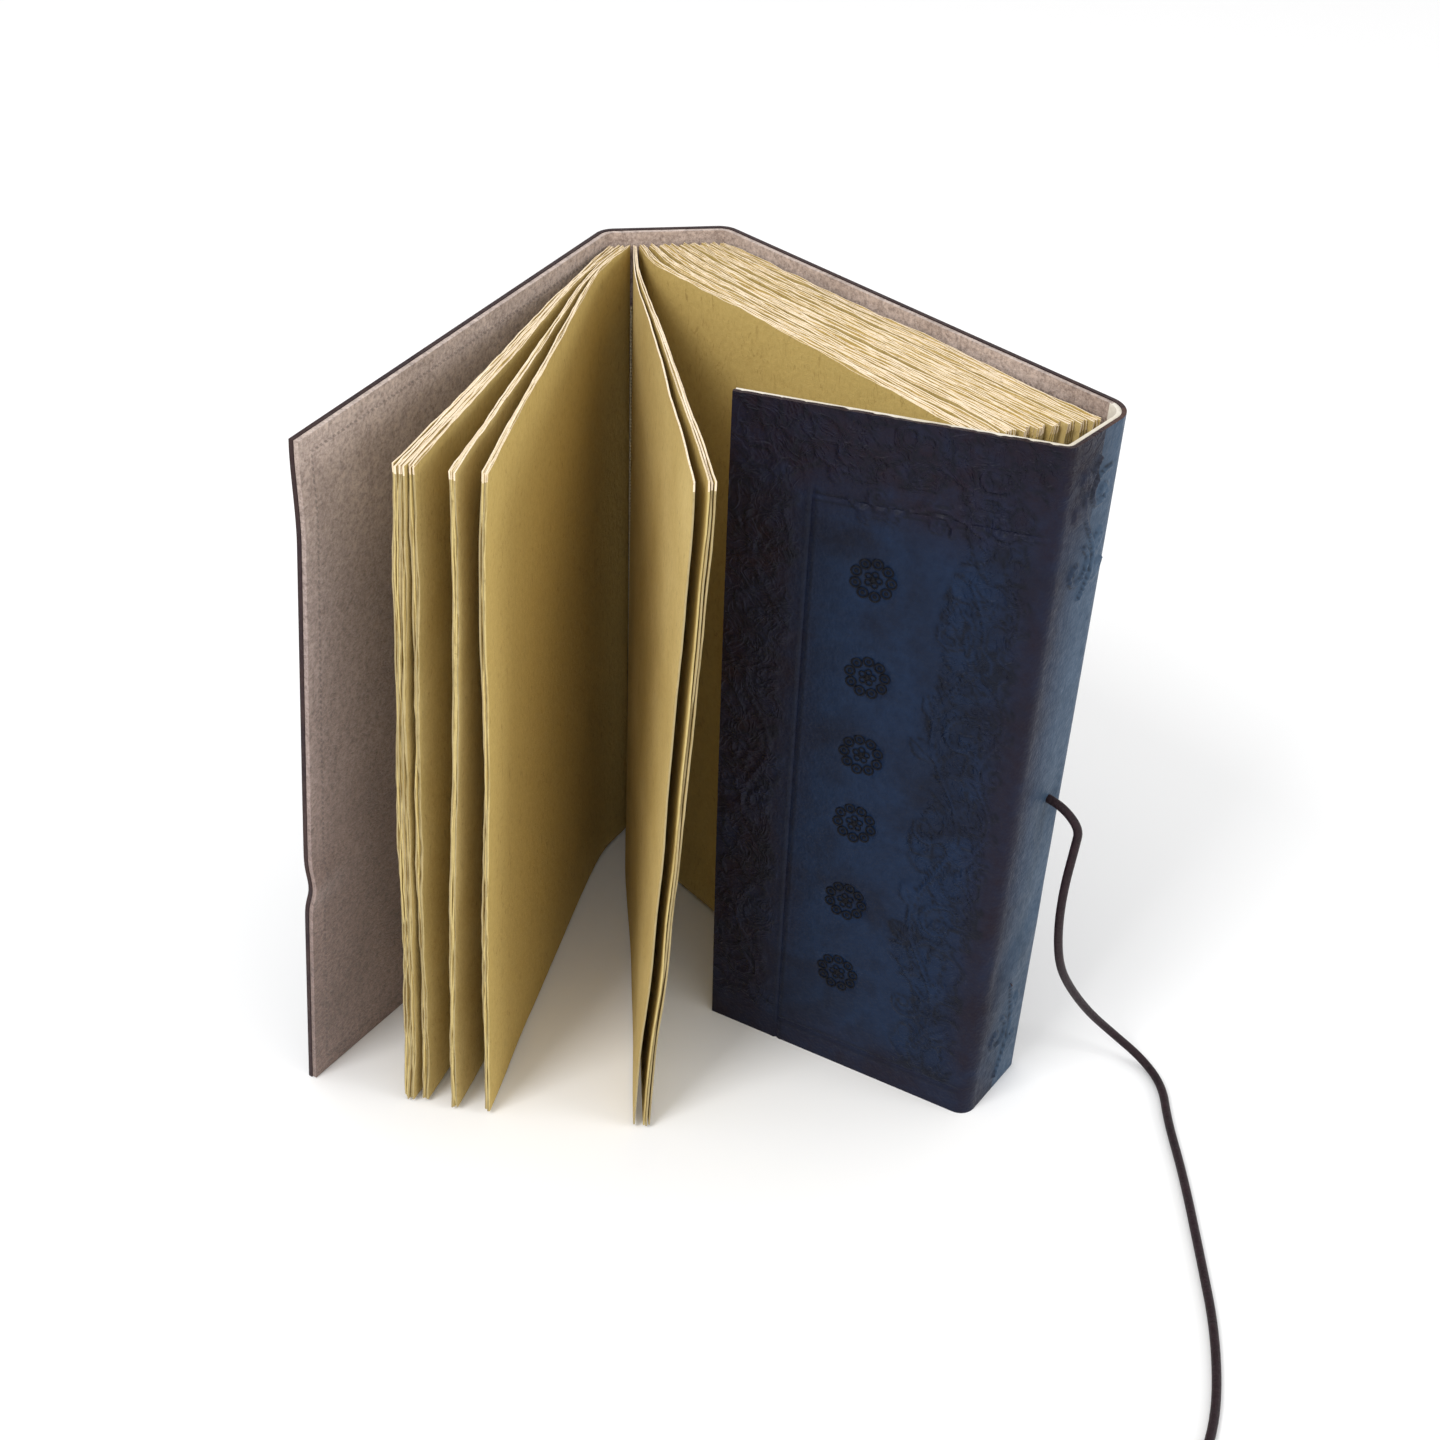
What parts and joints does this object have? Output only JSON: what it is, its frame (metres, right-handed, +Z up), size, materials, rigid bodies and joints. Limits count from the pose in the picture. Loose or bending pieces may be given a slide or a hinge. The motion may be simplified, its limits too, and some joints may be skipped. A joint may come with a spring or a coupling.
{
  "type": "scrapbook album",
  "caption": "Leather album standing open, with a fore-edge wrap and flap, a tie cord and sewn signatures of hand-made leaves.",
  "frame": {"origin": "on the surface the album stands on, under the middle of the spine hide", "axes": "+Z up along the spine, +X along the spine from the back cover to the front cover, the album opens towards -Y"},
  "size_m": [0.2694, 0.3317, 0.23],
  "materials": {
    "leather_blue": "tooled, waxed, burnished purple-brown at the edges",
    "suede_brown": "napped suede",
    "hide_flesh": "undyed flesh side",
    "board_grey": "matt",
    "handmade_paper": "matt, fibrous, deckle edged",
    "linen_thread": "waxed linen",
    "cord_plum": "rolled leather cord"
  },
  "bodies": {
    "spine": {"spine_leather": "leather_blue", "spine_board": "board_grey", "spine_lining": "suede_brown", "spine_stitches": "linen_thread", "gutter_thread": "linen_thread"},
    "back_cover": {"back_cover_leather": "leather_blue", "back_cover_board": "board_grey", "back_cover_lining": "suede_brown"},
    "front_cover": {"front_cover_leather": "leather_blue", "front_cover_board": "board_grey", "front_cover_lining": "suede_brown"},
    "fore_edge_wrap": {"fore_edge_leather": "leather_blue", "fore_edge_lining": "hide_flesh", "tie_cord": "cord_plum", "tie_cord_coil": "cord_plum", "tie_cord_end_knot": "cord_plum", "tie_cord_stopper_knot": "cord_plum"},
    "flap": {"flap_leather": "leather_blue", "flap_lining": "hide_flesh"},
    "leaves_01": {"signature_01": "handmade_paper"},
    "leaves_02": {"signature_02_back": "handmade_paper", "signature_02_front": "handmade_paper"},
    "leaves_03_left": {"signature_03_left": "handmade_paper"},
    "leaves_03_right": {"signature_03_right": "handmade_paper"},
    "leaves_04": {"signature_04": "handmade_paper"},
    "leaves_05": {"signature_05": "handmade_paper"},
    "leaves_06": {"signature_06": "handmade_paper"},
    "leaves_07": {"signature_07": "handmade_paper"},
    "leaves_08": {"signature_08": "handmade_paper"},
    "leaves_09": {"signature_09": "handmade_paper"},
    "leaves_10": {"signature_10": "handmade_paper"},
    "leaves_11": {"signature_11": "handmade_paper"},
    "leaves_12": {"signature_12": "handmade_paper"}
  },
  "joints": [
    {"name": "back_cover_hinge", "type": "hinge", "parent": "spine", "child": "back_cover", "pos_m": [-0.0192, 0, 0], "axis": [0, 0, 1], "range_deg": [-55, 9]},
    {"name": "front_cover_hinge", "type": "hinge", "parent": "spine", "child": "front_cover", "pos_m": [0.0192, 0, 0], "axis": [0, 0, 1], "range_deg": [-3, 15]},
    {"name": "fore_edge_fold", "type": "hinge", "parent": "front_cover", "child": "fore_edge_wrap", "pos_m": [0.10012, -0.13629, 0], "axis": [0.0434, 0.028, 0.9987], "range_deg": [0, 83]},
    {"name": "flap_fold", "type": "hinge", "parent": "fore_edge_wrap", "child": "flap", "pos_m": [0.07939, -0.15852, 0], "axis": [0.0358, 0.0357, 0.9987], "range_deg": [0, 68.06]},
    {"name": "page_turn", "type": "hinge", "parent": "spine", "child": "leaves_03_right", "pos_m": [-0.01085, -0.0034, 0], "axis": [0, 0, 1], "range_deg": [-14, 0]},
    {"name": "fan_01", "type": "hinge", "parent": "spine", "child": "leaves_01", "pos_m": [-0.01705, -0.0034, 0], "axis": [0, 0, 1], "range_deg": [-11, 1.8]},
    {"name": "fan_02", "type": "hinge", "parent": "spine", "child": "leaves_02", "pos_m": [-0.01395, -0.0034, 0], "axis": [0, 0, 1], "range_deg": [-9.9, 1.62]},
    {"name": "fan_03_left", "type": "hinge", "parent": "spine", "child": "leaves_03_left", "pos_m": [-0.01085, -0.0034, 0], "axis": [0, 0, 1], "range_deg": [-8.25, 1.35]},
    {"name": "fan_04", "type": "hinge", "parent": "spine", "child": "leaves_04", "pos_m": [-0.00775, -0.0034, 0], "axis": [0, 0, 1], "range_deg": [-2.76, 13.8]},
    {"name": "fan_05", "type": "hinge", "parent": "spine", "child": "leaves_05", "pos_m": [-0.00465, -0.0034, 0], "axis": [0, 0, 1], "range_deg": [-2.76, 13.8]},
    {"name": "fan_06", "type": "hinge", "parent": "spine", "child": "leaves_06", "pos_m": [-0.00155, -0.0034, 0], "axis": [0, 0, 1], "range_deg": [-2.76, 13.8]},
    {"name": "fan_07", "type": "hinge", "parent": "spine", "child": "leaves_07", "pos_m": [0.00155, -0.0034, 0], "axis": [0, 0, 1], "range_deg": [-2.76, 13.8]},
    {"name": "fan_08", "type": "hinge", "parent": "spine", "child": "leaves_08", "pos_m": [0.00465, -0.0034, 0], "axis": [0, 0, 1], "range_deg": [-2.76, 13.8]},
    {"name": "fan_09", "type": "hinge", "parent": "spine", "child": "leaves_09", "pos_m": [0.00775, -0.0034, 0], "axis": [0, 0, 1], "range_deg": [-2.76, 13.8]},
    {"name": "fan_10", "type": "hinge", "parent": "spine", "child": "leaves_10", "pos_m": [0.01085, -0.0034, 0], "axis": [0, 0, 1], "range_deg": [-2.76, 13.8]},
    {"name": "fan_11", "type": "hinge", "parent": "spine", "child": "leaves_11", "pos_m": [0.01395, -0.0034, 0], "axis": [0, 0, 1], "range_deg": [-2.76, 13.8]},
    {"name": "fan_12", "type": "hinge", "parent": "spine", "child": "leaves_12", "pos_m": [0.01705, -0.0034, 0], "axis": [0, 0, 1], "range_deg": [-3, 15]}
  ],
  "couplings": [
    {"joint": "flap_fold", "follows": "fore_edge_fold", "ratio": 0.82},
    {"joint": "fan_01", "follows": "back_cover_hinge", "ratio": 0.2},
    {"joint": "fan_02", "follows": "back_cover_hinge", "ratio": 0.18},
    {"joint": "fan_03_left", "follows": "back_cover_hinge", "ratio": 0.15},
    {"joint": "fan_04", "follows": "front_cover_hinge", "ratio": 0.92},
    {"joint": "fan_05", "follows": "front_cover_hinge", "ratio": 0.92},
    {"joint": "fan_06", "follows": "front_cover_hinge", "ratio": 0.92},
    {"joint": "fan_07", "follows": "front_cover_hinge", "ratio": 0.92},
    {"joint": "fan_08", "follows": "front_cover_hinge", "ratio": 0.92},
    {"joint": "fan_09", "follows": "front_cover_hinge", "ratio": 0.92},
    {"joint": "fan_10", "follows": "front_cover_hinge", "ratio": 0.92},
    {"joint": "fan_11", "follows": "front_cover_hinge", "ratio": 0.92},
    {"joint": "fan_12", "follows": "front_cover_hinge", "ratio": 1}
  ]
}
